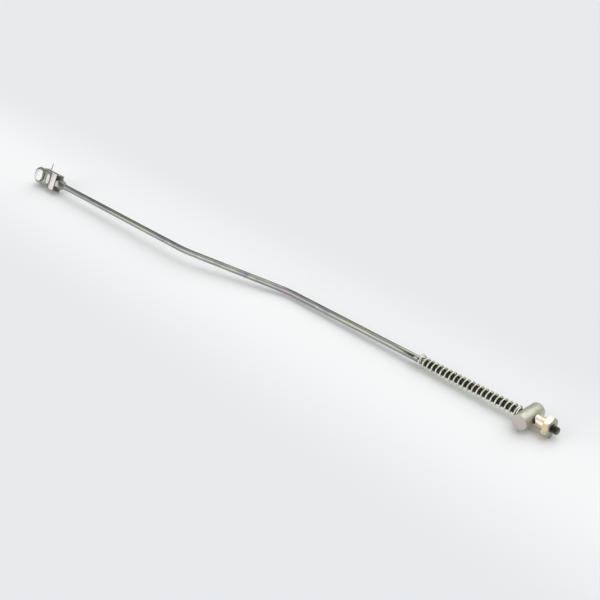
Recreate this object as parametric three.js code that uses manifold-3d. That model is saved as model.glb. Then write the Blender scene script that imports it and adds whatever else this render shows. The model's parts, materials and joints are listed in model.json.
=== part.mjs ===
// Rear brake rod of a small motorcycle, lying as it comes to rest.
// Millimetres, +Z up. The adjuster nut is at the +X end and the clevis at the -X end.
// The origin is the middle of the object's footprint, on the surface that it lies on.

import * as THREE from 'three';
import { mergeVertices } from 'three/addons/utils/BufferGeometryUtils.js';
import { ConvexHull } from 'three/addons/math/ConvexHull.js';
import Module from 'manifold-3d';

const wasm = await Module();
wasm.setup();

const TAU = 2 * Math.PI;
const degrees = THREE.MathUtils.degToRad;

// Clearances
const seatGap = 0.3;
const threadClearance = 0.15;
const pinClearance = 0.12;
const cotterClearance = 0.15;
const slideClearance = 0.3;
// How far a cutting solid runs past the face that it cuts, and a joined one into its neighbour
const overrun = 1;

// Rod: two parallel straight runs, set over from each other by an S-bend
const shankDiameter = 5.5;
const threadDiameter = 6.0;
const rearRun = 268;
const frontRun = 200;
const bendRun = 106.6;
const bendOffset = 28.3;
const bendRadius = 70;
const bendRoll = 19.3;
const rearThreadLength = 118;
const frontThreadLength = 14;
const threadChamfer = 0.7;
const threadStepIn = 0.1;

// Crimped lugs that stop the spring
const lugReach = 4.4;
const lugThickness = 2.4;
const lugLength = 4;
const lugRamp = 5;
const lugToRodEnd = 124;
const lugRoll = 45;

// Return spring
const springWire = 1.3;
const springOuter = 9.2;
const springFlareOuter = 11.4;
const springTurns = 23;
const springClosedTurns = 1;
const springFlareStart = 0.5;
const springFlareTurns = 1.25;
const springClosedGap = 0.1;

// Trunnion: the plain cross barrel that sits in the brake arm
const trunnionDiameter = 12.4;
const trunnionLength = 25.4;
const trunnionChamfer = 0.6;
const trunnionRoll = 6.4;

// Adjuster nut
const nutToRodEnd = 5;
const nutAcrossFlats = 14.5;
const nutHexLength = 5.2;
const nutSleeveDiameter = 9.8;
const nutSleeveLength = 8.2;
const nutNotchRadius = 4.5;
const nutNotchDepth = 2;
const nutHexTurn = 10.2;

// Clevis: a strap folded to a U, with an inward step and a shallow pressed pad in each ear
const clevisWidth = 16.5;
const clevisStrap = 2;
const clevisWebSpan = 9.8;
const clevisEarSpan = 8.8;
const clevisBend = 2.4;
const clevisLeastInnerBend = 0.2;
const clevisStepStart = 8.5;
const clevisStepLength = 1.6;
const clevisPinToWeb = 27.3;
const clevisTipReach = 9.5;
const clevisRoll = 28.5;
const padLength = 6.2;
const padHeight = 10.4;
const padDepth = 0.6;
const padToWeb = 14.6;

// Lock nut
const lockNutAcrossFlats = 10;
const lockNutLength = 5;

// Clevis pin and its split cotter
const pinDiameter = 8;
const pinHeadDiameter = 12;
const pinHeadThickness = 2.2;
const pinHeadChamfer = 0.6;
const pinEndChamfer = 0.8;
const pinPastCotter = 2.6;
const cotterToEar = 1.8;
const cotterWire = 1.8;
const cotterLegsGap = 0.16;
const cotterInnerWidth = 1.44;
const cotterOuterWidth = 1;
const cotterEyeOuter = 3.4;
const cotterEyeToPin = 0.15;
const cotterStraight = 1;
const cotterLongLeg = 14.5;
const cotterShortLeg = 9;
const cotterLean = 6;
const cotterSplay = 24;

// Chamfer of both nuts' hexagons
const hexChamferAngle = degrees(30);
const hexFaceShare = 0.95;

// Facets of round surfaces
const rodFacets = 24;
const barrelFacets = 48;
const holeFacets = 36;
const springFacets = 6;
const springStepsPerTurn = 18;
const bendSteps = 5;
const eyeSteps = 14;
const cornerSegments = 6;
const earSegments = 20;
const padSegments = 12;

// Sizes that follow from those above
const bendAngle = Math.atan2(bendOffset, bendRun);
const rearBendX = -rearRun;
const frontBendX = rearBendX - bendRun;
const frontEndX = frontBendX - frontRun;
const lugRearX = -lugToRodEnd;
const nutFaceX = -nutToRodEnd;
const nutShoulderX = nutFaceX - nutHexLength;
const nutLipX = nutShoulderX - nutSleeveLength;
const trunnionX = nutLipX - seatGap - trunnionDiameter / 2;
const springStartX = lugRearX + seatGap;
const springEndX = trunnionX - trunnionDiameter / 2 - seatGap;
const threadHole = threadDiameter + 2 * threadClearance;
const slideHole = threadDiameter + 2 * slideClearance;
const earOuter = clevisEarSpan / 2;

// Solids

const weldDistance = 1e-4;

function solidOf(geometry) {
  const bare = geometry.clone();
  bare.deleteAttribute('normal');
  bare.deleteAttribute('uv');
  const merged = mergeVertices(bare, weldDistance);
  const indices = merged.index.array;
  return new wasm.Manifold(new wasm.Mesh({
    numProp: 3,
    vertProperties: new Float32Array(merged.attributes.position.array),
    triVerts: new Uint32Array(indices),
  }));
}

function geometryOf(solid) {
  const mesh = solid.getMesh();
  const geometry = new THREE.BufferGeometry();
  geometry.setAttribute('position', new THREE.BufferAttribute(mesh.vertProperties, 3));
  geometry.setIndex(new THREE.BufferAttribute(mesh.triVerts, 1));
  geometry.computeVertexNormals();
  return geometry;
}

function circleSection(diameter, facets) {
  return Array.from({ length: facets }, (_, index) => {
    const angle = index * TAU / facets;
    return [diameter / 2 * Math.cos(angle), diameter / 2 * Math.sin(angle)];
  });
}

// Turns a profile of [radius, height] points about the X axis, with heights along X.
function turnedAboutX(profile, facets) {
  const points = profile.map(([radius, along]) => new THREE.Vector2(radius, along));
  return new THREE.LatheGeometry(points, facets).rotateZ(-Math.PI / 2);
}

function roundBarX(diameter, fromX, toX, facets) {
  const radius = diameter / 2;
  return turnedAboutX([[0, fromX], [radius, fromX], [radius, toX], [0, toX]], facets);
}

// A hexagonal bar along X, with its corners turned back at both ends.
function hexBarX(acrossFlats, fromX, toX) {
  const cornerRadius = acrossFlats / Math.sqrt(3);
  const hexagon = new THREE.Shape(circleSection(2 * cornerRadius, 6).map(([x, y]) => new THREE.Vector2(x, y)));
  const bar = new THREE.ExtrudeGeometry(hexagon, { depth: toX - fromX, bevelEnabled: false });
  bar.rotateY(Math.PI / 2).translate(fromX, 0, 0);
  const faceRadius = acrossFlats / 2 * hexFaceShare;
  const chamferLength = (cornerRadius - faceRadius) * Math.tan(hexChamferAngle);
  const envelope = turnedAboutX([
    [0, fromX],
    [faceRadius, fromX],
    [cornerRadius, fromX + chamferLength],
    [cornerRadius, toX - chamferLength],
    [faceRadius, toX],
    [0, toX],
  ], barrelFacets);
  return solidOf(bar).intersect(solidOf(envelope));
}

// A path whose steps land on chosen stations, so straights take one step and bends take several.
class StationPath extends THREE.Curve {
  constructor(stations) {
    super();
    this.stations = stations;
  }

  getUtoTmapping(u) {
    return u;
  }

  getPoint(t, target = new THREE.Vector3()) {
    const place = t * (this.stations.length - 1);
    const index = Math.min(Math.floor(place), this.stations.length - 2);
    return target.lerpVectors(this.stations[index], this.stations[index + 1], place - index);
  }

  getTangent(t, target = new THREE.Vector3()) {
    const place = Math.round(t * (this.stations.length - 1));
    const before = this.stations[Math.max(place - 1, 0)];
    const after = this.stations[Math.min(place + 1, this.stations.length - 1)];
    return target.subVectors(after, before).normalize();
  }
}

// Sweeps a flat section along stations. The section is a list of [x, y] points.
function swept(section, stations) {
  const shape = new THREE.Shape(section.map(([x, y]) => new THREE.Vector2(x, y)));
  return new THREE.ExtrudeGeometry(shape, {
    steps: stations.length - 1,
    extrudePath: new StationPath(stations),
    bevelEnabled: false,
  });
}

// Rod

// Stations of one bend in the XY plane, from its corner, the heading before it and its turn.
function bendStations(cornerX, cornerY, heading, turn, steps) {
  const tangentLength = bendRadius * Math.tan(Math.abs(turn) / 2);
  const side = Math.sign(turn);
  const startX = cornerX - tangentLength * Math.cos(heading);
  const startY = cornerY - tangentLength * Math.sin(heading);
  const centreX = startX - side * bendRadius * Math.sin(heading);
  const centreY = startY + side * bendRadius * Math.cos(heading);
  return Array.from({ length: steps + 1 }, (_, step) => {
    const angle = heading + turn * step / steps;
    return new THREE.Vector3(
      centreX + side * bendRadius * Math.sin(angle),
      centreY - side * bendRadius * Math.cos(angle),
      0,
    );
  });
}

// A triangle-sided fin in the XZ plane, with its square face towards the spring.
function lugFin() {
  const outline = new THREE.Shape([
    new THREE.Vector2(lugRearX - lugLength - lugRamp, 0),
    new THREE.Vector2(lugRearX, 0),
    new THREE.Vector2(lugRearX, lugReach),
    new THREE.Vector2(lugRearX - lugLength, lugReach),
  ]);
  const fin = new THREE.ExtrudeGeometry(outline, { depth: lugThickness, bevelEnabled: false });
  return fin.translate(0, 0, -lugThickness / 2).rotateX(Math.PI / 2);
}

function makeRod() {
  const stations = [
    new THREE.Vector3(frontEndX + frontThreadLength / 2, -bendOffset, 0),
    ...bendStations(frontBendX, -bendOffset, 0, bendAngle, bendSteps),
    ...bendStations(rearBendX, 0, bendAngle, -bendAngle, bendSteps),
    new THREE.Vector3(-rearThreadLength / 2, 0, 0),
  ];
  const shank = swept(circleSection(shankDiameter, rodFacets), stations);
  const threadRadius = threadDiameter / 2;
  const tipRadius = threadRadius - threadChamfer;
  const rearThread = turnedAboutX([
    [0, -rearThreadLength],
    [shankDiameter / 2 - threadStepIn, -rearThreadLength],
    [threadRadius, -rearThreadLength + threadChamfer],
    [threadRadius, -threadChamfer],
    [tipRadius, 0],
    [0, 0],
  ], rodFacets);
  const frontThread = turnedAboutX([
    [0, frontEndX],
    [tipRadius, frontEndX],
    [threadRadius, frontEndX + threadChamfer],
    [threadRadius, frontEndX + frontThreadLength - threadChamfer],
    [shankDiameter / 2 - threadStepIn, frontEndX + frontThreadLength],
    [0, frontEndX + frontThreadLength],
  ], rodFacets).translate(0, -bendOffset, 0);
  let rod = solidOf(shank).add(solidOf(rearThread)).add(solidOf(frontThread));
  for (const side of [0, Math.PI]) {
    const fin = lugFin().rotateX(side + degrees(lugRoll + bendRoll));
    rod = rod.add(solidOf(fin));
  }
  return geometryOf(rod);
}

// Spring

function makeSpring() {
  const coilRadius = (springOuter - springWire) / 2;
  const flareRadius = (springFlareOuter - springWire) / 2;
  const wireHalf = springWire / 2;
  const startX = springStartX + wireHalf;
  const endX = springEndX - wireHalf;
  const closedPitch = springWire + springClosedGap;
  const openTurns = springTurns - 2 * springClosedTurns;
  const openLength = endX - startX - 2 * springClosedTurns * closedPitch;
  const steps = springTurns * springStepsPerTurn;
  const stations = Array.from({ length: steps + 1 }, (_, step) => {
    const turn = step / springStepsPerTurn;
    const closedBefore = Math.min(turn, springClosedTurns);
    const open = THREE.MathUtils.clamp(turn - springClosedTurns, 0, openTurns);
    const closedAfter = Math.max(turn - springClosedTurns - openTurns, 0);
    const x = startX + (closedBefore + closedAfter) * closedPitch + open / openTurns * openLength;
    const flare = 1 - THREE.MathUtils.smoothstep(turn, springFlareStart, springFlareStart + springFlareTurns);
    const radius = coilRadius + flare * (flareRadius - coilRadius);
    return new THREE.Vector3(x, radius * Math.sin(turn * TAU), radius * Math.cos(turn * TAU));
  });
  return swept(circleSection(springWire, springFacets), stations);
}

// Trunnion

function makeTrunnion() {
  const half = trunnionLength / 2;
  const radius = trunnionDiameter / 2;
  const barrel = new THREE.LatheGeometry([
    new THREE.Vector2(0, -half),
    new THREE.Vector2(radius - trunnionChamfer, -half),
    new THREE.Vector2(radius, -half + trunnionChamfer),
    new THREE.Vector2(radius, half - trunnionChamfer),
    new THREE.Vector2(radius - trunnionChamfer, half),
    new THREE.Vector2(0, half),
  ], barrelFacets).translate(trunnionX, 0, 0);
  const hole = roundBarX(slideHole, trunnionX - trunnionDiameter, trunnionX + trunnionDiameter, holeFacets);
  return geometryOf(solidOf(barrel).subtract(solidOf(hole)));
}

// Adjuster nut: a hexagon and a sleeve in one, with a notch across the sleeve's lip

function makeAdjusterNut() {
  const hexagon = hexBarX(nutAcrossFlats, nutShoulderX, nutFaceX)
    .rotate([-nutHexTurn, 0, 0]);
  const sleeve = roundBarX(nutSleeveDiameter, nutLipX, nutShoulderX + overrun, barrelFacets);
  const thread = roundBarX(threadHole, nutLipX - overrun, nutFaceX + overrun, holeFacets);
  const notchX = nutLipX + nutNotchDepth - nutNotchRadius;
  const notch = new THREE.CylinderGeometry(
    nutNotchRadius, nutNotchRadius, 2 * nutSleeveDiameter, holeFacets,
  ).translate(notchX, 0, 0);
  return geometryOf(hexagon.add(solidOf(sleeve)).subtract(solidOf(thread)).subtract(solidOf(notch)));
}

// Clevis, in its own frame: web's outer face at x = 0, ears towards -X, ear thickness along Y

function makeClevis() {
  const tipX = -(clevisPinToWeb + clevisTipReach);
  const webHalf = clevisWebSpan / 2;
  const stepEnd = clevisStepStart + clevisStepLength;
  const innerBend = Math.max(clevisBend - clevisStrap, clevisLeastInnerBend);
  const strap = new THREE.Shape();
  strap.moveTo(0, 0);
  strap.lineTo(0, webHalf - clevisBend);
  strap.absarc(-clevisBend, webHalf - clevisBend, clevisBend, 0, Math.PI / 2, false);
  strap.lineTo(-clevisStepStart, webHalf);
  strap.lineTo(-stepEnd, earOuter);
  strap.lineTo(tipX, earOuter);
  strap.lineTo(tipX, earOuter - clevisStrap);
  strap.lineTo(-stepEnd, earOuter - clevisStrap);
  strap.lineTo(-clevisStepStart, webHalf - clevisStrap);
  strap.lineTo(-clevisStrap - innerBend, webHalf - clevisStrap);
  strap.absarc(
    -clevisStrap - innerBend, webHalf - clevisStrap - innerBend, innerBend, Math.PI / 2, 0, true,
  );
  strap.lineTo(-clevisStrap, 0);
  strap.closePath();
  const halfStrap = new THREE.ExtrudeGeometry(strap, {
    depth: clevisWidth, bevelEnabled: false, curveSegments: cornerSegments,
  }).translate(0, 0, -clevisWidth / 2);
  const half = solidOf(halfStrap);
  const folded = half.add(half.mirror([0, 1, 0]));

  const ear = new THREE.Shape();
  const earRadius = clevisWidth / 2;
  ear.moveTo(overrun, -earRadius);
  ear.lineTo(overrun, earRadius);
  ear.lineTo(-clevisPinToWeb, earRadius);
  ear.absellipse(-clevisPinToWeb, 0, clevisTipReach, earRadius, Math.PI / 2, 1.5 * Math.PI, false, 0);
  ear.closePath();
  const earOutline = new THREE.ExtrudeGeometry(ear, {
    depth: 2 * clevisWebSpan, bevelEnabled: false, curveSegments: earSegments,
  }).translate(0, 0, -clevisWebSpan).rotateX(Math.PI / 2);

  const pinHole = new THREE.CylinderGeometry(
    pinDiameter / 2 + pinClearance, pinDiameter / 2 + pinClearance, 2 * clevisWebSpan, holeFacets,
  ).translate(-clevisPinToWeb, 0, 0);
  const rodHole = roundBarX(threadHole, -clevisStrap - overrun, overrun, holeFacets);

  let clevis = folded.intersect(solidOf(earOutline));
  for (const side of [-1, 1]) {
    clevis = clevis.add(solidOf(pad(side * (earOuter - clevisStrap))));
    clevis = clevis.subtract(solidOf(pad(side * earOuter)));
  }
  return geometryOf(clevis.subtract(solidOf(pinHole)).subtract(solidOf(rodHole)));
}

// The pressed pad: an oblong pushed in by its depth on one face, and out by it on the other.
function pad(faceY) {
  const endRadius = padLength / 2;
  const straight = padHeight / 2 - endRadius;
  const oblong = new THREE.Shape();
  oblong.absarc(0, straight, endRadius, 0, Math.PI, false);
  oblong.absarc(0, -straight, endRadius, Math.PI, TAU, false);
  oblong.closePath();
  const depth = 2 * padDepth;
  const block = new THREE.ExtrudeGeometry(oblong, { depth, bevelEnabled: false, curveSegments: padSegments });
  return block.translate(0, 0, -depth / 2).rotateX(Math.PI / 2).translate(-padToWeb, faceY, 0);
}

// Lock nut, against the web

function makeLockNut() {
  const nut = hexBarX(lockNutAcrossFlats, seatGap, seatGap + lockNutLength);
  const thread = roundBarX(threadHole, 0, 2 * lockNutLength, holeFacets);
  return geometryOf(nut.subtract(solidOf(thread)));
}

// Clevis pin, along Y, with its head at -Y

function makeClevisPin() {
  const headFaceY = -earOuter - seatGap - pinHeadThickness;
  const shoulderY = -earOuter - seatGap;
  const endY = earOuter + cotterToEar + pinPastCotter;
  const radius = pinDiameter / 2;
  const headRadius = pinHeadDiameter / 2;
  const body = new THREE.LatheGeometry([
    new THREE.Vector2(0, headFaceY),
    new THREE.Vector2(headRadius - pinHeadChamfer, headFaceY),
    new THREE.Vector2(headRadius, headFaceY + pinHeadChamfer),
    new THREE.Vector2(headRadius, shoulderY),
    new THREE.Vector2(radius, shoulderY),
    new THREE.Vector2(radius, endY - pinEndChamfer),
    new THREE.Vector2(radius - pinEndChamfer, endY),
    new THREE.Vector2(0, endY),
  ], holeFacets);
  const cotterHole = new THREE.CylinderGeometry(
    cotterWire / 2 + cotterClearance, cotterWire / 2 + cotterClearance, 2 * pinDiameter, rodFacets,
  ).rotateX(Math.PI / 2).translate(0, earOuter + cotterToEar, 0);
  return geometryOf(solidOf(body).subtract(solidOf(cotterHole))).translate(-clevisPinToWeb, 0, 0);
}

// Cotter: half-round wire folded to an eye below the pin and two legs standing above it.
// It lies in the XZ plane of its own frame, with the pin's axis through the origin.

function makeCotter() {
  const legHalf = cotterWire / 4 + cotterLegsGap / 4;
  const wireHeight = cotterWire / 2 - cotterLegsGap / 2;
  const eyeRadius = (cotterEyeOuter - wireHeight) / 2;
  const eyeZ = -(pinDiameter / 2 + cotterEyeOuter / 2 + cotterEyeToPin);
  const pinTop = pinDiameter / 2 + cotterStraight;
  const closing = Math.asin(legHalf / eyeRadius);
  const eye = Array.from({ length: eyeSteps + 1 }, (_, step) => {
    const angle = Math.PI / 2 + closing + (TAU - 2 * closing) * step / eyeSteps;
    return new THREE.Vector3(eyeRadius * Math.cos(angle), 0, eyeZ + eyeRadius * Math.sin(angle));
  });
  const lean = degrees(cotterLean);
  const splay = degrees(cotterSplay);
  const stations = [
    new THREE.Vector3(
      -legHalf - (cotterShortLeg - pinTop) * Math.sin(splay), 0,
      pinTop + (cotterShortLeg - pinTop) * Math.cos(splay),
    ),
    new THREE.Vector3(-legHalf, 0, pinTop),
    ...eye,
    new THREE.Vector3(legHalf, 0, pinTop),
    new THREE.Vector3(
      legHalf + (cotterLongLeg - pinTop) * Math.sin(lean), 0,
      pinTop + (cotterLongLeg - pinTop) * Math.cos(lean),
    ),
  ];
  const half = wireHeight / 2;
  const inner = cotterInnerWidth / 2;
  const outer = cotterOuterWidth / 2;
  const section = [[-inner, -half], [inner, -half], [outer, half], [-outer, half]];
  return swept(section, stations);
}

// Finishes

function finish(colour, roughness, metalness) {
  return new THREE.MeshStandardMaterial({ color: colour, roughness, metalness });
}

const rodZinc = finish(0x9a9c9b, 0.35, 0.9);
const springZinc = finish(0xb9bca4, 0.35, 0.9);
const trunnionZinc = finish(0xcfcdbd, 0.5, 0.7);
const nutZinc = finish(0xe6e0cf, 0.3, 0.8);
const clevisSteel = finish(0x8a8d88, 0.5, 0.8);
const pinSteel = finish(0xdfe0da, 0.35, 0.8);
const cotterSteel = finish(0xa3a6a6, 0.4, 0.8);

function piece(name, geometry, material) {
  const mesh = new THREE.Mesh(geometry, material);
  mesh.name = name;
  return mesh;
}

// Assembly. The rear run lies along X with its end at the origin, and the S-bend leans by its roll.

function makeFrontEnd() {
  const cotter = piece('cotter_pin', makeCotter(), cotterSteel);
  cotter.position.set(-clevisPinToWeb, earOuter + cotterToEar, 0);
  const frontEnd = new THREE.Group();
  frontEnd.add(
    piece('clevis', makeClevis(), clevisSteel),
    piece('clevis_lock_nut', makeLockNut(), clevisSteel),
    piece('clevis_pin', makeClevisPin(), pinSteel),
    cotter,
  );
  const bendLean = degrees(bendRoll);
  frontEnd.position.set(
    frontEndX + clevisStrap, -bendOffset * Math.cos(bendLean), bendOffset * Math.sin(bendLean),
  );
  frontEnd.rotation.x = -degrees(clevisRoll);
  return frontEnd;
}

function makeRearEnd() {
  const trunnion = piece('trunnion', makeTrunnion(), trunnionZinc);
  trunnion.rotation.x = -degrees(trunnionRoll);
  const nut = piece('adjuster_nut', makeAdjusterNut(), nutZinc);
  nut.rotation.x = -degrees(trunnionRoll);
  const rearEnd = new THREE.Group();
  rearEnd.add(piece('return_spring', makeSpring(), springZinc), trunnion, nut);
  return rearEnd;
}

const rod = piece('brake_rod', makeRod(), rodZinc);
rod.rotation.x = -degrees(bendRoll);
const assembly = new THREE.Group();
assembly.add(rod, makeFrontEnd(), makeRearEnd());

// Every corner of every piece, and the middle of their volume.
function cornersAndCentre(group) {
  group.updateMatrixWorld(true);
  const corners = [];
  const centre = new THREE.Vector3();
  let volume = 0;
  group.traverse((mesh) => {
    if (!mesh.isMesh) return;
    const flat = mesh.geometry.index ? mesh.geometry.toNonIndexed() : mesh.geometry;
    const positions = flat.attributes.position;
    for (let first = 0; first < positions.count; first += 3) {
      const [a, b, c] = [0, 1, 2].map((offset) => new THREE.Vector3()
        .fromBufferAttribute(positions, first + offset).applyMatrix4(mesh.matrixWorld));
      const part = a.dot(b.clone().cross(c)) / 6;
      volume += part;
      centre.addScaledVector(a, part / 4).addScaledVector(b, part / 4).addScaledVector(c, part / 4);
      corners.push(a, b, c);
    }
  });
  return { corners, centre: centre.divideScalar(volume) };
}

const mostRolls = 50;
const sameDirection = 1e-9;

// Rolls the object onto the side that lies under its centre of mass, and stands that on z = 0.
function layDown(group) {
  const { corners, centre } = cornersAndCentre(group);
  const sides = new ConvexHull().setFromPoints(corners).faces;
  const down = new THREE.Vector3(0, 0, -1);
  const depthOf = (side) => (side.constant - side.normal.dot(centre)) / side.normal.dot(down);
  for (let roll = 0; roll < mostRolls; roll += 1) {
    const below = sides.filter((side) => side.normal.dot(down) > sameDirection);
    const under = below.reduce((best, side) => (depthOf(side) < depthOf(best) ? side : best));
    if (under.normal.distanceTo(down) < sameDirection) break;
    down.copy(under.normal);
  }
  group.quaternion.setFromUnitVectors(down, new THREE.Vector3(0, 0, -1));
  const box = new THREE.Box3().setFromPoints(corners.map((corner) => corner.applyQuaternion(group.quaternion)));
  const middle = box.getCenter(new THREE.Vector3());
  group.position.set(-middle.x, -middle.y, -box.min.z);
}

layDown(assembly);

export default assembly;
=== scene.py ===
# %% Load the fixed frame
import json
import math

import bmesh
import bpy
from mathutils import Matrix, Vector


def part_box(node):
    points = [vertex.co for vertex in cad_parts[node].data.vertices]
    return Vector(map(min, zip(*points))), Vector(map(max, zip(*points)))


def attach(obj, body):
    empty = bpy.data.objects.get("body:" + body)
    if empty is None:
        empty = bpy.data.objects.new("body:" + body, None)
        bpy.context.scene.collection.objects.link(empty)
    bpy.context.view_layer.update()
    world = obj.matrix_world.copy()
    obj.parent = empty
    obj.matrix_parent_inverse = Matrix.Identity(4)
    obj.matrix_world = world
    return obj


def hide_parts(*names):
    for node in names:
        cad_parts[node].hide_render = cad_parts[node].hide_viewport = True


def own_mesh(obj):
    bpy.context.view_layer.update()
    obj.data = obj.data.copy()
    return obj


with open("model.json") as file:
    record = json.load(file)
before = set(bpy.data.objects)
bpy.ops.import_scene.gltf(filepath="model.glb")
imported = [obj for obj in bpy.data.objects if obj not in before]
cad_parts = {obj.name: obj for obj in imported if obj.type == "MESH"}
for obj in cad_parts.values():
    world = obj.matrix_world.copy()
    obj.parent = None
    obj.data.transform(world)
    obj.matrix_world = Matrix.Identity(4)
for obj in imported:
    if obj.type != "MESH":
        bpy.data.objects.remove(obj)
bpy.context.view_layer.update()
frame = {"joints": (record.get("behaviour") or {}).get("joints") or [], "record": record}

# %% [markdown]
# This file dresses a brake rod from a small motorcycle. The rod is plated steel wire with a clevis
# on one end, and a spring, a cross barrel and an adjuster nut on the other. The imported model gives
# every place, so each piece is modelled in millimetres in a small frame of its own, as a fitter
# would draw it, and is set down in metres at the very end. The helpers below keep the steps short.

MM = 0.001
AXES = {"X": Vector((1, 0, 0)), "Y": Vector((0, 1, 0)), "Z": Vector((0, 0, 1))}
UPRIGHT_TO = {"X": (0, math.pi / 2, 0), "Y": (-math.pi / 2, 0, 0), "Z": (0, 0, 0)}
MODES = {"verts": "VERT", "edges": "EDGE", "faces": "FACE"}
# Sides of round shapes, by how large they are
WIDE_SIDES = 96
HOLE_SIDES = 64
SMALL_SIDES = 32
# How square to an axis a face must be, how near to a rim or a corner a point must be, and weld reach
FACING = 0.99
RIM = 0.1
CORNER = 0.01
WELD = 0.001
# How far a cutting bar runs past the face that it cuts
OVERRUN = 1
# The Mix node's sockets for its two colours and its result
MIX_FIRST, MIX_SECOND, MIX_RESULT = 6, 7, 2


def let_go():
    if bpy.context.mode != "OBJECT":
        bpy.ops.object.mode_set(mode="OBJECT")
    bpy.ops.object.select_all(action="DESELECT")


def hold(piece):
    let_go()
    piece.select_set(True)
    bpy.context.view_layer.objects.active = piece


def named(name):
    piece = bpy.context.active_object
    piece.name = piece.data.name = name
    bpy.ops.object.transform_apply(location=True, rotation=True, scale=True)
    return piece


def pick(piece, kind, test):
    """Selects, in edit mode, what passes a test on its middle point and itself."""
    if bpy.context.mode != "EDIT_MESH":
        hold(piece)
        bpy.ops.object.mode_set(mode="EDIT")
    bpy.ops.mesh.select_mode(type=MODES[kind])
    bpy.ops.mesh.select_all(action="DESELECT")
    shape = bmesh.from_edit_mesh(piece.data)
    for element in getattr(shape, kind):
        corners = [element.co] if kind == "verts" else [corner.co for corner in element.verts]
        middle = sum(corners, Vector()) / len(corners)
        element.select_set(bool(test(middle, element)))
    shape.select_flush_mode()
    bmesh.update_edit_mesh(piece.data)


def bar(name, axis, radius, start, end, sides=48):
    """A round or many-sided bar along one axis. Its first corner points at Y, or at -Z for Y."""
    let_go()
    middle = AXES[axis] * (start + end) / 2
    bpy.ops.mesh.primitive_cylinder_add(
        vertices=sides, radius=radius, depth=end - start, location=middle, rotation=UPRIGHT_TO[axis])
    return named(name)


def block(name, low, high):
    let_go()
    low, high = Vector(low), Vector(high)
    bpy.ops.mesh.primitive_cube_add(size=1, location=(low + high) / 2, scale=high - low)
    return named(name)


def extrude(by=(0, 0, 0), grow=(1, 1, 1), about=(0, 0, 0)):
    """Extrudes what is selected, moves it, and scales it about a point."""
    bpy.ops.mesh.extrude_region_move(TRANSFORM_OT_translate={"value": by})
    if tuple(grow) != (1, 1, 1):
        bpy.ops.transform.resize(value=grow, center_override=about)


def finish_with(piece, kind, **settings):
    hold(piece)
    modifier = piece.modifiers.new(kind.lower(), kind)
    for setting, value in settings.items():
        setattr(modifier, setting, value)
    bpy.ops.object.modifier_apply(modifier=modifier.name)


def combine(piece, other, operation="DIFFERENCE"):
    """Cuts one solid by another, joins them or keeps what they share. The other one is used up."""
    let_go()
    finish_with(piece, "BOOLEAN", object=other, operation=operation, solver="EXACT")
    bpy.data.objects.remove(other)


def round_edges(piece, width, sharper_than=30, segments=2):
    finish_with(piece, "BEVEL", width=width, segments=segments, limit_method="ANGLE",
                angle_limit=math.radians(sharper_than), harden_normals=False)


def outline_test(axis, place, radius_range, tolerance=0.02):
    """A test for the edges of a round rim at one place along an axis."""
    index = "XYZ".index(axis)

    def on_rim(middle, edge):
        off_axis = Vector(middle)
        off_axis[index] = 0
        flat = all(abs(corner.co[index] - place) < tolerance for corner in edge.verts)
        return flat and radius_range[0] < off_axis.length < radius_range[1]
    return on_rim


# %% [markdown]
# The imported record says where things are: the nut's joint gives the line of the rod, the two
# mounts give the barrel's ends, and the pin's joint gives the pin. Three small frames follow from
# them. Working from the record keeps every piece where the solid model has it, whatever changes.

# %% Find the rod's, the barrel's and the clevis's own frames
record = frame["record"]
joints = {joint["name"]: joint for joint in frame["joints"]}
mounts = {mount["name"]: mount for mount in record["mounts"]}


def own_frame(origin, along, across):
    """X along, Y as near to across as it can be, and Z square to both."""
    x_axis = Vector(along).normalized()
    z_axis = x_axis.cross(Vector(across)).normalized()
    y_axis = z_axis.cross(x_axis)
    place = Matrix((x_axis, y_axis, z_axis)).transposed().to_4x4()
    place.translation = origin
    return place


def rolled(place, degrees):
    return place @ Matrix.Rotation(math.radians(degrees), 4, "X")


trunnion_radius = 6.2
trunnion_to_rod_end = 24.9
trunnion_roll = -6.4
bend_roll = -19.3
pin_to_web = 27.3

rod_axis = Vector(joints["nut_turn"]["axis"])
near_end = Vector(mounts["trunnion_near_end"]["pos_m"])
far_end = Vector(mounts["trunnion_far_end"]["pos_m"])
pin_middle = Vector(joints["pin_turn"]["pos_m"])
pin_axis = Vector(joints["pin_turn"]["axis"])

trunnion_place = own_frame((near_end + far_end) / 2, rod_axis, far_end - near_end)
nut_place = own_frame(
    trunnion_place.translation + rod_axis * trunnion_to_rod_end * MM, rod_axis, far_end - near_end)
rod_place = rolled(nut_place, -trunnion_roll)
bent_rod_place = rolled(rod_place, bend_roll)
clevis_place = own_frame(pin_middle + rod_axis * pin_to_web * MM, rod_axis, pin_axis)
print("rod's rear end", [round(value, 4) for value in rod_place.translation])

# %% [markdown]
# The camera looks down on the rod from the side of the spring, so that the rod runs across the
# picture from corner to corner. Its place was worked out from the rod's straight runs and bends in
# the photograph, and so it is given in millimetres from the rod's rear end.

# %% Set up the camera
camera_place = Vector((244.22, -511.05, 464.99))
camera_pitch_down = 33.41
camera_heading = 44.3
focal_pixels = 999
picture_pixels = 600
sensor_width = 36

let_go()
bpy.ops.object.camera_add()
camera = bpy.context.active_object
camera.name = "studio_camera"
turn = Matrix.Rotation(math.radians(camera_heading), 4, "Z")
tip = Matrix.Rotation(math.radians(90 - camera_pitch_down), 4, "X")
camera.matrix_world = Matrix.Translation(rod_place.translation + camera_place * MM) @ turn @ tip
camera.data.sensor_width = sensor_width
camera.data.lens = focal_pixels * sensor_width / picture_pixels
camera.data.clip_start = 0.01
bpy.context.scene.camera = camera
bpy.context.scene.view_settings.view_transform = "Standard"
print("lens", round(camera.data.lens, 2), "mm")

# %% [markdown]
# Every finish is a short recipe of shader nodes. One function turns a paint-chip colour to the
# linear numbers that the shader wants, and one adds a node with its settings and links. The
# patterns read object coordinates, which are metres here, so a Mapping node scales them to
# millimetres first.

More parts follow.
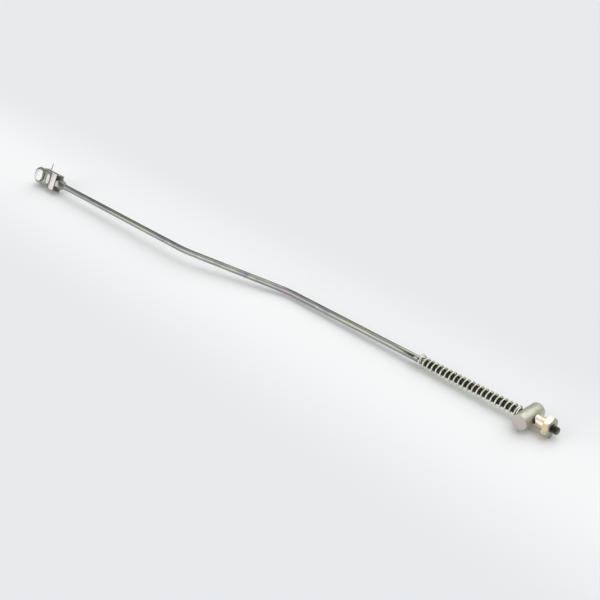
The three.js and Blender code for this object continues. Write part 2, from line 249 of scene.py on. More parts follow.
# %% Helpers for finishes
def linear(hex_colour):
    """An sRGB hex colour as the linear red, green, blue and alpha that Blender works in."""
    channels = [int(hex_colour[at:at + 2], 16) / 255 for at in (1, 3, 5)]
    return tuple(c / 12.92 if c <= 0.04045 else ((c + 0.055) / 1.055) ** 2.4 for c in channels) + (1,)


def add(tree, kind, inputs=None, **settings):
    """Adds one node, sets it, and fills or links its inputs."""
    node = tree.nodes.new(kind)
    for setting, value in settings.items():
        setattr(node, setting, value)
    for socket, value in (inputs or {}).items():
        if isinstance(value, bpy.types.NodeSocket):
            tree.links.new(value, node.inputs[socket])
        else:
            node.inputs[socket].default_value = value
    return node


def set_ramp(ramp, stops):
    """Gives a colour ramp its stops, as pairs of place and colour."""
    elements = ramp.color_ramp.elements
    while len(elements) > 1:
        elements.remove(elements[-1])
    elements[0].position, elements[0].color = stops[0][0], linear(stops[0][1])
    for place, colour in stops[1:]:
        elements.new(place).color = linear(colour)
    return ramp.outputs["Color"]


def new_finish(name):
    material = bpy.data.materials.new(name)
    material.use_nodes = True
    tree = material.node_tree
    shader = tree.nodes["Principled BSDF"]
    return material, tree, shader


def millimetres(tree, stretch=(1, 1, 1), turn=(0, 0, 0)):
    """Object coordinates in millimetres, stretched along the piece where a pattern is drawn out."""
    place = add(tree, "ShaderNodeTexCoord").outputs["Object"]
    scale = [1000 * share for share in stretch]
    mapping = add(tree, "ShaderNodeMapping", {"Vector": place, "Scale": scale, "Rotation": turn})
    return mapping.outputs["Vector"]


# %% [markdown]
# Zinc plate on steel is a metal, so the rod, the thread and the clevis are fully metallic. A
# passivate bath leaves a thin film, and its thickness drifts over the surface, so the grey breaks
# into faint yellow, pink, green and blue patches a few millimetres wide. Noise through a colour
# ramp draws that drift, and finer noise sets roughness and a slight bump. Where the film is thick
# and pale it scatters light as paint does, so those finishes are made less than fully metallic.

# %% Zinc plate finishes
# Grain width in millimetres, and where a ramp's first colour sits and how far the rest reach
GRAIN = 0.35
RAMP_START = 0.28
RAMP_REACH = 0.44


def zinc_plate(name, colours, patch, roughness, metal=1, stretch=(1, 1, 1), stain=None):
    """Plated steel: colours drift in patches, given in millimetres, and grain roughens it."""
    material, tree, shader = new_finish(name)
    place = millimetres(tree, stretch)
    drift = add(tree, "ShaderNodeTexNoise",
                {"Vector": place, "Scale": 1 / patch, "Detail": 3, "Distortion": 0.4})
    spread = 1 / (len(colours) - 1)
    stops = [(RAMP_START + RAMP_REACH * index * spread, colour) for index, colour in enumerate(colours)]
    ramp = add(tree, "ShaderNodeValToRGB", {"Fac": drift.outputs["Fac"]})
    colour = set_ramp(ramp, stops)
    fine = add(tree, "ShaderNodeTexNoise", {"Vector": place, "Scale": 1 / GRAIN, "Detail": 4})
    if stain:
        blot = add(tree, "ShaderNodeTexNoise", {"Vector": place, "Scale": 1 / (3 * patch), "Detail": 5})
        where = add(tree, "ShaderNodeMapRange",
                    {"Value": blot.outputs["Fac"], "From Min": 0.5, "From Max": 0.68, "To Max": 0.75})
        mixed = add(tree, "ShaderNodeMix", data_type="RGBA")
        tree.links.new(where.outputs["Result"], mixed.inputs["Factor"])
        tree.links.new(colour, mixed.inputs[MIX_FIRST])
        mixed.inputs[MIX_SECOND].default_value = linear(stain)
        colour = mixed.outputs[MIX_RESULT]
    tree.links.new(colour, shader.inputs["Base Color"])
    rough = add(tree, "ShaderNodeMapRange", {
        "Value": fine.outputs["Fac"], "To Min": roughness - 0.06, "To Max": roughness + 0.08})
    tree.links.new(rough.outputs["Result"], shader.inputs["Roughness"])
    dents = add(tree, "ShaderNodeBump",
                {"Height": fine.outputs["Fac"], "Strength": 0.06, "Distance": 0.1 * MM})
    tree.links.new(dents.outputs["Normal"], shader.inputs["Normal"])
    shader.inputs["Metallic"].default_value = metal
    return material


# Drawn wire with clear zinc: the die leaves long streaks, so the pattern is drawn out along X.
rod_zinc = zinc_plate(
    "clear_zinc_on_drawn_wire", ["#78858b", "#94999a", "#aaa896", "#8c9292", "#a2949a", "#868e90"],
    patch=7, roughness=0.15, stretch=(0.12, 1, 1))
# Painted shade: the rolled thread is coloured a dark grey for the shade that falls on it inside the
# spring.
thread_painted_shade_zinc = zinc_plate(
    "clear_zinc_on_rolled_thread", ["#735a4c", "#4b4c4b", "#5f6a55", "#47494b", "#76565a"],
    patch=4, roughness=0.3)
spring_zinc = zinc_plate(
    "yellow_zinc_on_spring_wire", ["#e3cfca", "#ecebd6", "#f3f2e6", "#e3e8cc", "#eedbd0"],
    patch=5, roughness=0.42, metal=0.7)
trunnion_zinc = zinc_plate(
    "yellow_zinc_on_turned_steel", ["#bdb6aa", "#cdc9b6", "#d6d3c1", "#c3c5ab", "#cabcb0"],
    patch=5, roughness=0.5, metal=0.85, stretch=(1, 0.35, 1))
# The end faces take a pinker film, because the lathe leaves them smoother than the barrel.
trunnion_face_zinc = zinc_plate(
    "pink_zinc_on_turned_faces", ["#c9b8bb", "#cfc3c0", "#c8c2bd", "#cdb9b6"],
    patch=5, roughness=0.55, metal=0.7)
nut_zinc = zinc_plate(
    "bright_yellow_zinc_on_nut", ["#e6d0c8", "#e9e2d2", "#efeadf", "#e6dfbd", "#ead4cb"],
    patch=5, roughness=0.35, metal=0.8)
# Painted shade: faces that look down are coloured a darker yellow-green, for the shade on the lower
# flats.
nut_painted_shade_zinc = zinc_plate(
    "drained_yellow_zinc_on_nut", ["#b9b48a", "#c6bd96", "#d3c8a4", "#cfae98", "#a9ab84"],
    patch=4, roughness=0.35, metal=0.9)
nut_face_zinc = zinc_plate(
    "grey_zinc_on_nut_face", ["#a3a698", "#b3b4a4", "#9a9d92"], patch=4, roughness=0.4)
clevis_zinc = zinc_plate(
    "dull_zinc_on_pressed_strap", ["#757a73", "#8b8f86", "#9d9f94", "#7d817a"],
    patch=2.4, roughness=0.4, stain="#54493c")
# The press rubs the strap bright beside the web and in the pads, and the faces that look up get a
# painted highlight.
clevis_rubbed_and_painted_highlight = zinc_plate(
    "rubbed_zinc_on_pressed_strap", ["#e2d6d4", "#ece6e2", "#f1ecea"],
    patch=4, roughness=0.45, metal=0.45)
# Painted shade: the web's outer face is coloured a darker grey.
clevis_web_painted_shade = zinc_plate(
    "shaded_zinc_on_web", ["#5f615c", "#6f7069", "#64665f"], patch=3, roughness=0.38)
lock_nut_zinc = zinc_plate(
    "grey_zinc_on_lock_nut", ["#8f918a", "#a5a69d", "#b6b6ae", "#999b93"], patch=3, roughness=0.3)
pin_zinc = zinc_plate(
    "satin_zinc_on_pin", ["#e4e6de", "#eff0e8", "#f6f6ee"], patch=5, roughness=0.4, metal=0.6)
cotter_zinc = zinc_plate(
    "bare_steel_split_pin_wire", ["#85898a", "#999d9c", "#8e9292"], patch=3, roughness=0.35)
print("made", len([m for m in bpy.data.materials if m.node_tree]), "finishes")


# %% [markdown]
# A finished piece takes its place in its mesh, and its object stays at the origin. Each one rides
# on the body that carries it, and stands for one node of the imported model.

# %% Helper that sets a piece down in the part
def set_down(piece, place, finish, body, node, smooth_below=35, others=()):
    """Others are pairs of a second finish and a test on a face's middle and normal, in its own frame."""
    hold(piece)
    bpy.ops.object.mode_set(mode="EDIT")
    bpy.ops.mesh.select_all(action="SELECT")
    bpy.ops.mesh.remove_doubles(threshold=WELD)
    bpy.ops.mesh.normals_make_consistent(inside=False)
    bpy.ops.object.mode_set(mode="OBJECT")
    bpy.ops.object.shade_smooth_by_angle(angle=math.radians(smooth_below))
    piece.data.transform(place @ Matrix.Scale(MM, 4))
    piece.data.update()
    piece.data.materials.clear()
    piece.data.materials.append(finish)
    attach(piece, body)
    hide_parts(node)
    for number, (other_finish, belongs) in enumerate(others, 1):
        piece.data.materials.append(other_finish)
        inverse = (place @ Matrix.Scale(MM, 4)).inverted()
        turn_back = inverse.to_3x3().normalized()
        for face in piece.data.polygons:
            if belongs(inverse @ face.center, turn_back @ face.normal):
                face.material_index = number
    low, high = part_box(node)
    ends = [piece.data.vertices[0].co.copy() for _ in range(2)]
    for vertex in piece.data.vertices:
        ends[0] = Vector(map(min, ends[0], vertex.co))
        ends[1] = Vector(map(max, ends[1], vertex.co))
    pairs = zip([*ends[0], *ends[1]], [*low, *high])
    reach = [round((mine - solid) / MM, 2) for mine, solid in pairs]
    print(piece.name, len(piece.data.polygons), "faces; its box less the solid's, in mm:", reach)


# %% [markdown]
# The rod is one length of wire. Its threads are rolled while it is straight, the two lugs are
# crimped up in a press, and the S-bend comes last, so it is modelled in that order. A circle is
# extruded to the length of each stretch, and the stretches that get a thread or a bend are cut
# into rings.

# %% Extrude the straight blank
shank_radius = 2.75
thread_radius = 3.0
rear_thread_length = 118
front_thread_length = 14
rear_run = 268
front_run = 200
bend_run = 106.6
bend_offset = 28.3
bend_radius = 70
rod_sides = 32
rings_per_turn = 8
rings_in_bend = 14
rings_in_straight = 4
thread_pitch = 1.0

bend_angle = math.atan2(bend_offset, bend_run)
arc_length = bend_radius * bend_angle
tangent_length = bend_radius * math.tan(bend_angle / 2)
rear_bend_at = rear_run - tangent_length
front_bend_at = rear_bend_at + arc_length + math.hypot(bend_run, bend_offset) - 2 * tangent_length
front_thread_at = front_bend_at + arc_length + front_run - tangent_length - front_thread_length
stretches = [
    (0, rear_thread_length, rings_per_turn * rear_thread_length),
    (rear_thread_length, rear_bend_at, rings_in_straight),
    (rear_bend_at, rear_bend_at + arc_length, rings_in_bend),
    (rear_bend_at + arc_length, front_bend_at, rings_in_straight),
    (front_bend_at, front_bend_at + arc_length, rings_in_bend),
    (front_bend_at + arc_length, front_thread_at, rings_in_straight),
    (front_thread_at, front_thread_at + front_thread_length, rings_per_turn * front_thread_length),
]

let_go()
bpy.ops.mesh.primitive_circle_add(
    vertices=rod_sides, radius=shank_radius, fill_type="NGON", rotation=UPRIGHT_TO["X"])
rod = named("rolled_and_bent_rod")
bpy.ops.object.mode_set(mode="EDIT")
bpy.ops.mesh.select_all(action="SELECT")
for start, end, _ in stretches:
    extrude(by=(start - end, 0, 0))
for start, end, rings in stretches:
    def runs_along(middle, edge, start=start, end=end):
        lengthwise = abs(edge.verts[0].co.x - edge.verts[1].co.x) > (end - start) / 2
        return lengthwise and start < -middle.x < end
    pick(rod, "edges", runs_along)
    bpy.ops.mesh.subdivide_edgering(number_cuts=rings - 1, interpolation="LINEAR", smoothness=0)
let_go()
rod_length = front_thread_at + front_thread_length
print("blank", round(rod_length, 1), "mm long,", len(rod.data.polygons), "faces")

# %% [markdown]
# The press squeezes the wire between two dies and throws up a wedge on each side. One tapered
# block through the rod makes both wedges, and a boolean joins it on. The square faces look at
# the spring, which stands against them.

# %% Crimp the two lugs that stop the spring
lug_at = 124
lug_reach = 4.4
lug_thickness = 2.4
lug_length = 4
lug_ramp = 5
lug_turn = 45 - bend_roll
lug_tail = 0.25
lug_rounding = 0.45

lugs = block("crimped_lugs", (-lug_at - lug_length, -lug_thickness / 2, -lug_reach),
             (-lug_at, lug_thickness / 2, lug_reach))
pick(lugs, "faces", lambda middle, face: face.normal.x < -FACING)
extrude(by=(-lug_ramp, 0, 0), grow=(1, 1, lug_tail))
let_go()
round_edges(lugs, lug_rounding, segments=3)
lugs.data.transform(Matrix.Rotation(math.radians(lug_turn), 4, "X"))
combine(rod, lugs, "UNION")

# %% [markdown]
# A rolled thread has flat crests, flat roots and straight flanks between them. The rings that
# were cut into the blank are moved in or out by where they stand on that profile, one turn to
# each millimetre, and the ends are turned down to a chamfer.

# %% Roll the threads
thread_depth = 0.6
thread_end_chamfer = 0.7
crest_share = 0.125
root_share = 0.75


def thread_height(turns):
    """How far up the flank a point is, from 0 in the root to 1 on the crest."""
    from_crest = abs(turns % 1 - 0.5) * 2
    return min(max((root_share - from_crest) / (root_share - crest_share), 0), 1)


def roll_thread(piece, start, end, open_end):
    """Threads the stretch between two places, with a chamfer at the rod's own end."""
    for vertex in piece.data.vertices:
        along = -vertex.co.x
        if not start - 0.001 <= along <= end + 0.001:
            continue
        turns = along / thread_pitch + math.atan2(vertex.co.z, vertex.co.y) / math.tau
        radius = thread_radius - thread_depth * (1 - thread_height(turns))
        from_tip = abs(along - open_end)
        radius = min(radius, thread_radius - max(thread_end_chamfer - from_tip, 0))
        fade = min(abs(along - (start + end - open_end)) / thread_pitch, 1)
        radius = fade * radius + (1 - fade) * shank_radius
        vertex.co.yz = vertex.co.yz.normalized() * radius


roll_thread(rod, 0, rear_thread_length, 0)
roll_thread(rod, front_thread_at, rod_length, rod_length)
print("threads rolled")

# %% [markdown]
# Each bend wraps the rod round a former. Every point beyond the start of the bend is turned with
# it, first through the arc and then straight on. The front bend is made first, so the straight
# rod lines up for the rear one.

# %% Bend the rod to its S
def bend(piece, start, angle, radius):
    side = math.copysign(1, angle)
    arc = radius * abs(angle)
    for vertex in piece.data.vertices:
        beyond = -vertex.co.x - start
        if beyond <= 0:
            continue
        turned = min(beyond, arc) / radius
        heading = Vector((-math.cos(turned), -side * math.sin(turned)))
        across = Vector((-side * math.sin(turned), math.cos(turned)))
        centre = Vector((-start - radius * math.sin(turned), -side * radius * (1 - math.cos(turned))))
        vertex.co.xy = centre + across * vertex.co.y + heading * max(beyond - arc, 0)


bend(rod, front_bend_at, -bend_angle, bend_radius)
bend(rod, rear_bend_at, bend_angle, bend_radius)
# The rear thread under the spring takes the painted shade.
set_down(rod, bent_rod_place, rod_zinc, "rod", "brake_rod",
         others=[(thread_painted_shade_zinc, lambda middle, normal: middle.x > -rear_thread_length)])

# %% [markdown]
# The return spring is cold-wound wire. Its first turn is opened out to sit against the lugs, and
# the turns at each end lie closed. A coil is a list of points on a helix, so a curve with a round
# section is the natural way to make it, and it is turned into a mesh at the end.

# %% Helper for round wire along a list of points
def wire(name, points, radius, roundness=3):
    let_go()
    path = bpy.data.curves.new(name, "CURVE")
    path.dimensions = "3D"
    path.bevel_depth = radius
    path.bevel_resolution = roundness
    path.use_fill_caps = True
    spline = path.splines.new("POLY")
    spline.points.add(len(points) - 1)
    for point, place in zip(spline.points, points):
        point.co = (*place, 1)
    piece = bpy.data.objects.new(name, path)
    bpy.context.scene.collection.objects.link(piece)
    hold(piece)
    bpy.ops.object.convert(target="MESH")
    piece = bpy.context.active_object
    piece.data.name = name
    return piece


# %% Wind the return spring
spring_wire = 1.3
spring_outer = 9.2
spring_flare_outer = 11.4
spring_turns = 23
closed_turns = 1
closed_pitch = spring_wire + 0.1
flare_start = 0.5
flare_turns = 1.25
steps_per_turn = 28
seat_gap = 0.3

spring_start = -lug_at + seat_gap + spring_wire / 2
spring_end = -trunnion_to_rod_end - trunnion_radius - seat_gap - spring_wire / 2
open_turns = spring_turns - 2 * closed_turns
open_length = spring_end - spring_start - 2 * closed_turns * closed_pitch
coil_radius = (spring_outer - spring_wire) / 2
flare_radius = (spring_flare_outer - spring_wire) / 2


def coil_point(turn):
    closed = min(turn, closed_turns) + max(turn - closed_turns - open_turns, 0)
    opened = min(max(turn - closed_turns, 0), open_turns) / open_turns
    along = spring_start + closed * closed_pitch + opened * open_length
    narrowing = min(max((turn - flare_start) / flare_turns, 0), 1)
    flare = 1 - narrowing * narrowing * (3 - 2 * narrowing)
    radius = coil_radius + flare * (flare_radius - coil_radius)
    return (along, radius * math.sin(math.tau * turn), radius * math.cos(math.tau * turn))


coil = [coil_point(step / steps_per_turn) for step in range(spring_turns * steps_per_turn + 1)]
spring = wire("wound_return_spring", coil, spring_wire / 2)
set_down(spring, rod_place, spring_zinc, "rod", "return_spring", smooth_below=60)
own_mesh(spring)

# %% [markdown]
# The trunnion is a turned barrel that the brake arm swivels on. It is a cylinder whose ends are
# faced in the lathe, so each end has a chamfer and a shallow recess, and the rod's hole is drilled
# across it and broken at its edge.

# %% Turn the trunnion
trunnion_half = 12.7
trunnion_chamfer = 0.6
slide_hole_radius = 3.3
recess_rim = 3.4
recess_depth = 0.12
trunnion_rounding = 0.12

trunnion = bar("turned_trunnion", "Y", trunnion_radius, -trunnion_half, trunnion_half, sides=WIDE_SIDES)
for end in (-trunnion_half, trunnion_half):
    pick(trunnion, "edges", outline_test("Y", end, (trunnion_radius - RIM, trunnion_radius + RIM)))
    bpy.ops.mesh.bevel(offset=trunnion_chamfer, segments=2, affect="EDGES")
for side in (-1, 1):
    pick(trunnion, "faces", lambda middle, face: side * face.normal.y > FACING and len(face.verts) > 8)
    bpy.ops.mesh.inset(thickness=recess_rim, depth=0)
    bpy.ops.mesh.inset(thickness=recess_depth, depth=-recess_depth)
let_go()
combine(trunnion, bar("drill", "X", slide_hole_radius, -2 * trunnion_radius, 2 * trunnion_radius))
round_edges(trunnion, trunnion_rounding, sharper_than=50)
set_down(trunnion, trunnion_place, trunnion_zinc, "trunnion", "trunnion",
         others=[(trunnion_face_zinc, lambda middle, normal: abs(normal.y) > 0.9)])

# %% [markdown]
# Both nuts start as a six-sided bar. The corners of a real nut are turned back to a cone at each
# face, so the bar keeps only what it shares with a turned blank that has those cones. That leaves
# the curved edges at the corners.

# %% Helper for a chamfered hexagon
chamfer_slope = math.tan(math.radians(30))
face_share = 0.95


def hexagon(name, across_flats, start, end, turn):
    corner = across_flats / math.sqrt(3)
    face_radius = face_share * across_flats / 2
    slope = (corner - face_radius) * chamfer_slope
    shrink = face_radius / corner
    nut = bar(name, "X", corner, start, end, sides=6)
    nut.data.transform(Matrix.Rotation(math.radians(turn), 4, "X"))
    blank = bar("blank", "X", corner, start + slope, end - slope, sides=WIDE_SIDES)
    for side in (-1, 1):
        pick(blank, "faces", lambda middle, face: side * face.normal.x > FACING)
        extrude(by=(side * slope, 0, 0), grow=(1, shrink, shrink))
    let_go()
    combine(nut, blank, "INTERSECT")
    return nut


# %% [markdown]
# The adjuster nut is a hexagon and a sleeve in one piece. The sleeve's lip has a round notch across
# it, which clicks over the barrel each half turn. The sleeve is joined on and the bore, its
# countersink and the notch are cut out.

# %% Make the adjuster nut
nut_face = -5
nut_shoulder = -10.2
nut_lip = -18.4
nut_across_flats = 14.5
nut_corner_turn = 90 - 10.2
nut_sleeve_radius = 4.9
thread_hole_radius = 3.15
notch_radius = 4.5
notch_depth = 2
countersink_radius = 3.9
countersink_depth = 0.7
countersink_foot = 3
countersink_flare = 0.1
nut_rounding = 0.22
hex_sharper_than = 28
# Faces whose normal rises less than this take the painted shade.
painted_shade_below = 0.35

nut = hexagon("chamfered_adjuster_nut", nut_across_flats, nut_shoulder, nut_face, nut_corner_turn)
combine(nut, bar("sleeve", "X", nut_sleeve_radius, nut_lip, nut_shoulder + 2 * OVERRUN,
                 sides=WIDE_SIDES), "UNION")
combine(nut, bar("bore", "X", thread_hole_radius, nut_lip - OVERRUN, nut_face + OVERRUN,
                 sides=HOLE_SIDES))
countersink = bar("countersink", "X", thread_hole_radius, nut_face - countersink_foot,
                  nut_face - countersink_depth, sides=HOLE_SIDES)
pick(countersink, "faces", lambda middle, face: face.normal.x > FACING)
widening = countersink_radius / thread_hole_radius + countersink_flare
extrude(by=(OVERRUN, 0, 0), grow=(1, widening, widening))
let_go()
combine(nut, countersink)
notch = bar("notch", "Y", notch_radius, -2 * nut_sleeve_radius, 2 * nut_sleeve_radius,
            sides=HOLE_SIDES)
notch.data.transform(Matrix.Translation((nut_lip + notch_depth - notch_radius, 0, 0)))
combine(nut, notch)
round_edges(nut, nut_rounding, sharper_than=hex_sharper_than)
# The lower flats take the painted shade, and the face towards the clevis is grey.
set_down(nut, nut_place, nut_zinc, "nut", "adjuster_nut",
         others=[(nut_painted_shade_zinc, lambda middle, normal: normal.z < painted_shade_below),
                 (nut_face_zinc, lambda middle, normal: normal.x > 0.5)])

# %% [markdown]
# The clevis is a flat strap that is folded to a U, stepped in beside the web, and pressed with an
# oblong pad in each ear. The fold starts as the web's outer face. Its two upright edges are
# extruded back into ears, the corners are bevelled round, and Solidify gives the strap its
# thickness. A block with a round nose then trims the ears.

# %% Fold the clevis
strap = 2
clevis_width = 16.5
web_half = 4.9
ear_half = 4.4
fold_radius = 2.4
step_start = 8.5
step_length = 1.6
tip_reach = 9.5
trim_margin = 1

let_go()
bpy.ops.mesh.primitive_plane_add(size=1, rotation=UPRIGHT_TO["X"])
clevis = named("folded_clevis")
clevis.data.transform(Matrix.Diagonal((1, 2 * web_half, clevis_width + 2 * trim_margin, 1)))
for side in (-1, 1):
    pick(clevis, "edges",
         lambda middle, edge: side * middle.y > web_half - CORNER and middle.x > -CORNER)
    extrude(by=(-step_start, 0, 0))
    extrude(by=(-step_length, side * (ear_half - web_half), 0))
    extrude(by=(step_start + step_length - pin_to_web - tip_reach - trim_margin, 0, 0))
pick(clevis, "edges", lambda middle, edge: abs(middle.y) > web_half - CORNER and middle.x > -CORNER)
bpy.ops.mesh.bevel(offset=fold_radius, segments=6, affect="EDGES")
bpy.ops.mesh.select_all(action="SELECT")
bpy.ops.mesh.normals_make_consistent(inside=False)
let_go()
web_face = max(clevis.data.polygons, key=lambda face: face.center.x)
finish_with(clevis, "SOLIDIFY", thickness=strap, offset=-math.copysign(1, web_face.normal.x),
            use_even_offset=True)

# %% Trim the ears to their round nose
nose = bar("nose", "Y", clevis_width / 2, -2 * web_half, 2 * web_half, sides=WIDE_SIDES)
nose.data.transform(Matrix.Scale(2 * tip_reach / clevis_width, 4, AXES["X"]))
nose.data.transform(Matrix.Translation((-pin_to_web, 0, 0)))
trim = block("trim", (-pin_to_web, -1.5 * web_half, -clevis_width / 2),
             (trim_margin, 1.5 * web_half, clevis_width / 2))
combine(trim, nose, "UNION")
combine(clevis, trim, "INTERSECT")
print("clevis folded and trimmed,", len(clevis.data.polygons), "faces")

# %% [markdown]
# A press pushes the oblong pad in from outside, so it is a shallow hollow on the outside and as
# much of a swelling inside. Two round bars and their hull make the oblong.

# %% Press the pads and drill the holes
pad_to_web = 14.6
pad_length = 6.2
pad_height = 10.4
pad_depth = 0.6
pin_hole_radius = 4.12
clevis_rounding = 0.3
square_facing = 0.8


def oblong(name, start, end):
    pad = bar(name, "Y", pad_length / 2, start, end, sides=SMALL_SIDES)
    other = bar(name, "Y", pad_length / 2, start, end, sides=SMALL_SIDES)
    for bar_end, side in ((pad, -1), (other, 1)):
        shift = (-pad_to_web, 0, side * (pad_height - pad_length) / 2)
        bar_end.data.transform(Matrix.Translation(shift))
    hold(pad)
    other.select_set(True)
    bpy.ops.object.join()
    bpy.ops.object.mode_set(mode="EDIT")
    bpy.ops.mesh.select_all(action="SELECT")
    bpy.ops.mesh.convex_hull()
    let_go()
    return pad


for side in (-1, 1):
    inner = side * (ear_half - strap)
    outer = side * ear_half
    swelling = sorted((inner - side * pad_depth, inner + side * pad_depth))
    hollow = sorted((outer - side * pad_depth, outer + side * pad_depth))
    combine(clevis, oblong("swelling", *swelling), "UNION")
    combine(clevis, oblong("hollow", *hollow))
pin_drill = bar("pin_drill", "Y", pin_hole_radius, -2 * web_half, 2 * web_half, sides=HOLE_SIDES)
pin_drill.data.transform(Matrix.Translation((-pin_to_web, 0, 0)))
combine(clevis, pin_drill)
combine(clevis, bar("rod_drill", "X", thread_hole_radius, -strap - OVERRUN, OVERRUN, sides=HOLE_SIDES))
round_edges(clevis, clevis_rounding)


def is_rubbed_or_painted_highlight(middle, normal):
    beside_web = -step_start < middle.x < -fold_radius / 2
    in_pad = (abs(middle.x + pad_to_web) < pad_length / 2 and abs(middle.z) < pad_height / 2
              and abs(abs(middle.y) - ear_half + pad_depth) < RIM)
    outside = abs(normal.y) > square_facing and abs(middle.y) > ear_half - pad_depth - RIM
    # Faces that look up get the painted highlight.
    painted_highlight_on_top = normal.z > square_facing
    return painted_highlight_on_top or (outside and (beside_web or in_pad))


# The pale zinc goes on the rubbed places and, as a painted highlight, on the faces that look up.
set_down(clevis, clevis_place, clevis_zinc, "rod", "clevis",
         others=[(clevis_rubbed_and_painted_highlight, is_rubbed_or_painted_highlight),
                 (clevis_web_painted_shade, lambda middle, normal: normal.x > 0.5 and middle.x > -strap / 2)])

# %% Make the lock nut against the web
lock_nut_across_flats = 10
lock_nut_length = 5
lock_nut_rounding = 0.18
lock_nut = hexagon("chamfered_lock_nut", lock_nut_across_flats,
                   seat_gap, seat_gap + lock_nut_length, 90)
combine(lock_nut, bar("bore", "X", thread_hole_radius, 0, 2 * lock_nut_length, sides=HOLE_SIDES))
round_edges(lock_nut, lock_nut_rounding, sharper_than=hex_sharper_than)
set_down(lock_nut, clevis_place, lock_nut_zinc, "rod", "clevis_lock_nut")

# %% [markdown]
# The clevis pin is headed wire: a bar whose end is upset to a wide flat head. The same is done
# here by scaling out an extrusion of the end face. The head's edge and the tip are chamfered, and
# the split pin's hole goes through near the tip.

# %% Head the clevis pin
pin_radius = 4
pin_head_radius = 6
pin_head_thickness = 2.2
pin_shoulder = -ear_half - seat_gap
cotter_at = ear_half + 1.8
pin_tip = cotter_at + 2.6
pin_head_chamfer = 0.6
pin_tip_chamfer = 0.8
cotter_hole_radius = 1.05

pin = bar("headed_clevis_pin", "Y", pin_radius, pin_shoulder, pin_tip, sides=HOLE_SIDES)
pick(pin, "faces", lambda middle, face: face.normal.y < -FACING)
flange = pin_head_radius / pin_radius
extrude(grow=(flange, 1, flange), about=(0, pin_shoulder, 0))
extrude(by=(0, -pin_head_thickness, 0))
head_face = pin_shoulder - pin_head_thickness
pick(pin, "edges", outline_test("Y", head_face, (pin_head_radius - RIM, pin_head_radius + RIM)))
bpy.ops.mesh.bevel(offset=pin_head_chamfer, segments=4, affect="EDGES")
pick(pin, "edges", outline_test("Y", pin_tip, (pin_radius - RIM, pin_radius + RIM)))
bpy.ops.mesh.bevel(offset=pin_tip_chamfer, segments=2, affect="EDGES")
let_go()
cotter_drill = bar("cotter_drill", "Z", cotter_hole_radius, -2 * pin_radius, 2 * pin_radius,
                   sides=SMALL_SIDES)
cotter_drill.data.transform(Matrix.Translation((0, cotter_at, 0)))
combine(pin, cotter_drill)
pin_place = clevis_place @ Matrix.Translation((-pin_to_web * MM, 0, 0))
set_down(pin, pin_place, pin_zinc, "pin", "clevis_pin")

# %% [markdown]
# The split pin is one wire folded on itself, with an eye below the clevis pin and two legs above
# it. The longer leg stands nearly straight and the shorter one is sprung away, which keeps it in.

# %% Fold the split pin
cotter_wire_radius = 0.41
cotter_leg_half = 0.49
cotter_eye_outer = 3.4
cotter_eye_radius = cotter_eye_outer / 2 - cotter_wire_radius
cotter_eye_gap = 0.15
cotter_eye_height = -(pin_radius + cotter_eye_outer / 2 + cotter_eye_gap)
cotter_straight_to = pin_radius + 1
cotter_long_leg = 14.5
cotter_short_leg = 9
cotter_lean = math.radians(6)
cotter_splay = math.radians(24)
eye_steps = 28

closing = math.asin(cotter_leg_half / cotter_eye_radius)
eye = []
for step in range(eye_steps + 1):
    angle = math.pi / 2 + closing + (math.tau - 2 * closing) * step / eye_steps
    eye.append((cotter_eye_radius * math.cos(angle), 0,
                cotter_eye_height + cotter_eye_radius * math.sin(angle)))
short_run = cotter_short_leg - cotter_straight_to
long_run = cotter_long_leg - cotter_straight_to
legs = [
    (-cotter_leg_half - short_run * math.sin(cotter_splay), 0,
     cotter_straight_to + short_run * math.cos(cotter_splay)),
    (-cotter_leg_half, 0, cotter_straight_to),
    *eye,
    (cotter_leg_half, 0, cotter_straight_to),
    (cotter_leg_half + long_run * math.sin(cotter_lean), 0,
     cotter_straight_to + long_run * math.cos(cotter_lean)),
]
cotter = wire("folded_split_pin", legs, cotter_wire_radius)
cotter_place = pin_place @ Matrix.Translation((0, cotter_at * MM, 0))
set_down(cotter, cotter_place, cotter_zinc, "pin", "cotter_pin", smooth_below=50)

# %% [markdown]
# The rod lies on a plain pale sweep. The sweep is a cool light grey with a brighter band under the
# rod, where the studio light pools. That pool is painted light: its colour is a soft ramp across the
# band.

# %% Lay the pale sweep
sweep_size = 6
painted_light_half_width = 0.125
painted_light_middle = -0.014

let_go()
bpy.ops.mesh.primitive_plane_add(size=sweep_size)
sweep = named("pale_sweep")
sweep_paper, tree, shader = new_finish("pale_grey_paper")
coordinates = add(tree, "ShaderNodeTexCoord").outputs["Object"]
parts = add(tree, "ShaderNodeSeparateXYZ", {"Vector": coordinates})
from_painted_light = add(tree, "ShaderNodeMath", {0: parts.outputs["Y"], 1: painted_light_middle}, operation="SUBTRACT")
off_painted_light = add(tree, "ShaderNodeMath", {0: from_painted_light.outputs["Value"]}, operation="ABSOLUTE")
share = add(tree, "ShaderNodeMapRange", {
    "Value": off_painted_light.outputs["Value"], "From Max": painted_light_half_width}, interpolation_type="SMOOTHSTEP")
ramp = add(tree, "ShaderNodeValToRGB", {"Fac": share.outputs["Result"]})
# The ramp paints the pool of light: brightest in the middle of the band, plain grey outside it.
paper_and_painted_light_colour = set_ramp(ramp, [(0, "#fafbfb"), (1, "#ecedef")])
tree.links.new(paper_and_painted_light_colour, shader.inputs["Base Color"])
shader.inputs["Roughness"].default_value = 1
shader.inputs["Specular IOR Level"].default_value = 0
sweep.data.materials.append(sweep_paper)

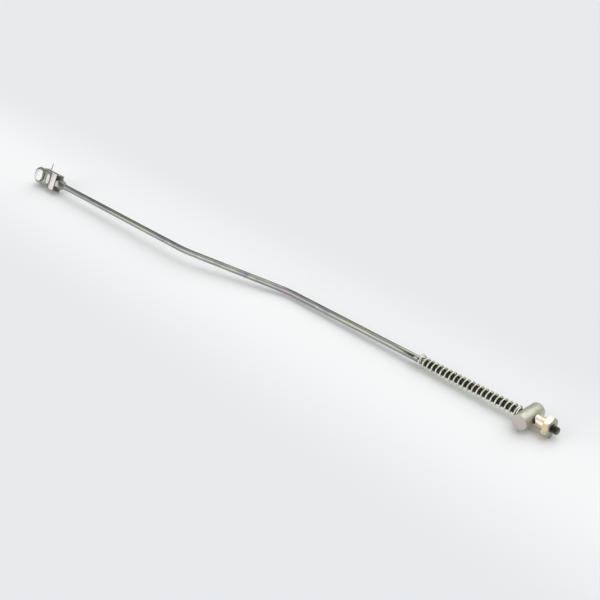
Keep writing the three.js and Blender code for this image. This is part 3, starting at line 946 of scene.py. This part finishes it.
# %% [markdown]
# The main light is a broad soft source high behind the rod on the right, so the shadows are soft
# and fall towards the lower left of the picture. A sun lamp with a wide angle gives the same light
# over the whole sweep. The world stands for the room. Metal shows what is round it, so the world
# has a bright panel low in front and a paler ceiling, with a dim room between them. Those give the
# round rod its long dark and bright bands.

# %% Light the studio
sun_height = math.radians(52)
sun_heading = math.radians(80)
sun_angle = math.radians(75)
sun_strength = 1.27

let_go()
bpy.ops.object.light_add(type="SUN")
main_light = bpy.context.active_object
main_light.name = main_light.data.name = "broad_main_light"
main_light.data.energy = sun_strength
main_light.data.angle = sun_angle
towards_sun = Vector((math.cos(sun_heading) * math.cos(sun_height),
                      math.sin(sun_heading) * math.cos(sun_height), math.sin(sun_height)))
main_light.rotation_euler = (-towards_sun).to_track_quat("-Z", "Y").to_euler()

world = bpy.context.scene.world or bpy.data.worlds.new("studio")
bpy.context.scene.world = world
world.use_nodes = True
tree = world.node_tree
background = tree.nodes["Background"]
direction = add(tree, "ShaderNodeTexCoord").outputs["Generated"]
height = add(tree, "ShaderNodeSeparateXYZ", {"Vector": direction}).outputs["Z"]
sky_ramp = add(tree, "ShaderNodeValToRGB", {"Fac": height})
sky = set_ramp(sky_ramp, [(0, "#3f4243"), (0.4, "#66696a"), (0.7, "#c9cccd"), (1, "#ffffff")])
panel_towards = Vector((-0.45, -0.85, 0.22)).normalized()
panel_brightness = 1.8
nearness = add(tree, "ShaderNodeVectorMath", {0: direction, 1: panel_towards}, operation="DOT_PRODUCT")
panel = add(tree, "ShaderNodeMapRange",
            {"Value": nearness.outputs["Value"], "From Min": 0.82, "From Max": 0.93},
            interpolation_type="SMOOTHSTEP")
room = add(tree, "ShaderNodeMix", data_type="RGBA")
tree.links.new(panel.outputs["Result"], room.inputs["Factor"])
tree.links.new(sky, room.inputs[MIX_FIRST])
room.inputs[MIX_SECOND].default_value = (*[panel_brightness] * 3, 1)
tree.links.new(room.outputs[MIX_RESULT], background.inputs["Color"])
background.inputs["Strength"].default_value = 1
